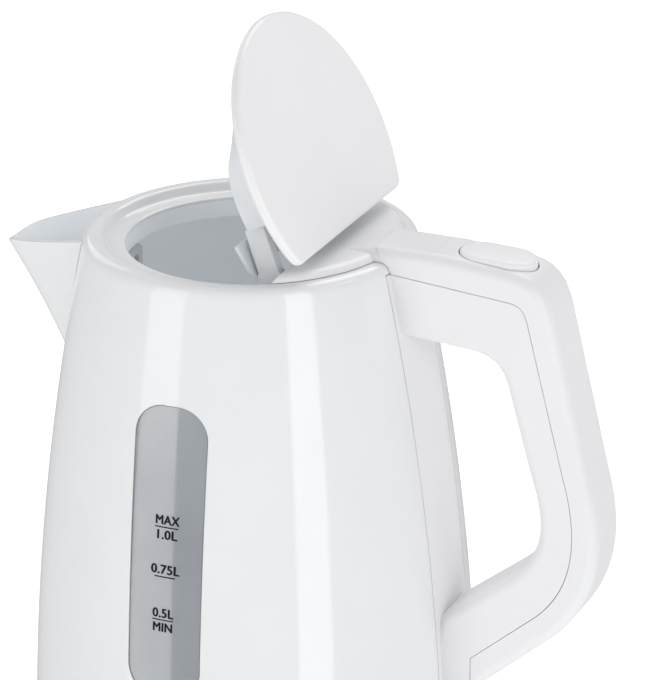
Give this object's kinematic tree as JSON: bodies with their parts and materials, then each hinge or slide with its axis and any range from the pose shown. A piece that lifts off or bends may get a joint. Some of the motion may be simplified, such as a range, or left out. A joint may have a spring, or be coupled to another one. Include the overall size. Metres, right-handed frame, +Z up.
{
  "type": "electric kettle",
  "caption": "Cordless electric kettle: tapered jug with a beak spout, water window, hinged lid, closed loop handle with a lid button, and a round power base.",
  "frame": {"origin": "centre of the power base's underside, on the table, on the jug's axis", "axes": "+Z up along the jug's axis, +X towards the handle, -X towards the spout, -Y towards the side with the water window"},
  "size_m": [0.2223, 0.156, 0.2681],
  "materials": {
    "white_gloss": "glossy white moulded polypropylene",
    "white_satin": "satin white moulded plastic",
    "window_smoke": "clear smoke-grey moulded plastic",
    "grey_plastic": "grey moulded plastic",
    "black_plastic": "black heat-resistant moulding",
    "steel": "brushed stainless steel",
    "brass": "bright contact brass",
    "rubber": "soft matt rubber"
  },
  "bodies": {
    "base": {"base_cover": "white_gloss", "base_plate": "white_satin", "base_connector": "black_plastic", "contact_pin": "brass", "contact_ring_1": "brass", "contact_ring_2": "brass", "cord_gland": "rubber", "foot_pad_1": "rubber", "foot_pad_2": "rubber", "foot_pad_3": "rubber", "base_screw_1": "steel", "base_screw_2": "steel", "base_screw_3": "steel"},
    "socket": {"kettle_socket": "black_plastic", "socket_pin": "brass"},
    "jug": {"body_shell": "white_gloss", "spout": "white_gloss", "water_window": "window_smoke", "handle_grip": "white_satin", "handle_cover": "white_satin", "button_spring": "steel", "lid_spring": "steel", "hinge_pin": "steel", "heating_plate": "steel", "plate_seal": "rubber", "heating_element": "steel", "bimetal_disc_near": "steel", "bimetal_disc_far": "steel", "control_unit": "black_plastic", "bottom_cover": "white_gloss", "bottom_screw_1": "steel", "bottom_screw_2": "steel", "bottom_screw_3": "steel", "switch_bracket": "grey_plastic", "switch_pin": "steel", "steam_disc": "steel"},
    "filter": {"filter_frame": "white_gloss", "filter_sheet": "grey_plastic"},
    "lid": {"lid_plate": "white_satin", "lid_pan": "white_gloss", "lid_arm_near": "grey_plastic", "lid_arm_far": "grey_plastic", "pan_screw_1": "steel", "pan_screw_2": "steel"},
    "button": {"lid_button": "white_satin"},
    "latch": {"latch_slider": "grey_plastic"},
    "lever": {"switch_lever": "grey_plastic"},
    "trip": {"trip_rod": "grey_plastic"}
  },
  "joints": [
    {"name": "kettle_lift", "type": "slide", "parent": "base", "child": "socket", "axis": [0, 0, 1], "range_m": [0, 0.12]},
    {"name": "kettle_turn", "type": "hinge", "parent": "socket", "child": "jug", "pos_m": [0, 0, 0.03], "axis": [0, 0, 1], "continuous": true},
    {"name": "lid_hinge", "type": "hinge", "parent": "jug", "child": "lid", "pos_m": [0.036, 0, 0.1878], "axis": [0, 1, 0], "range_deg": [-65.7, 0], "stiffness_Nm_per_rad": 0.04, "springref_deg": 40.11},
    {"name": "button_press", "type": "slide", "parent": "jug", "child": "button", "axis": [0, 0, -1], "range_m": [0, 0.002], "stiffness_N_per_m": 400, "springref_m": -0.0006, "deforming": ["button_spring"]},
    {"name": "latch_slide", "type": "slide", "parent": "jug", "child": "latch", "axis": [1, 0, 0], "range_m": [0, 0.002]},
    {"name": "switch_rock", "type": "hinge", "parent": "jug", "child": "lever", "pos_m": [0.062, 0, 0.0272], "axis": [0, 1, 0], "range_deg": [0, 8]},
    {"name": "trip_slide", "type": "slide", "parent": "jug", "child": "trip", "axis": [0, 0, 1], "range_m": [0, 0.0014]},
    {"name": "filter_slide", "type": "slide", "parent": "jug", "child": "filter", "axis": [1, 0, 0], "range_m": [0, 0.03]}
  ],
  "couplings": [
    {"joint": "latch_slide", "follows": "button_press", "ratio": 1},
    {"joint": "trip_slide", "follows": "switch_rock", "m_per_rad": 0.0093}
  ]
}
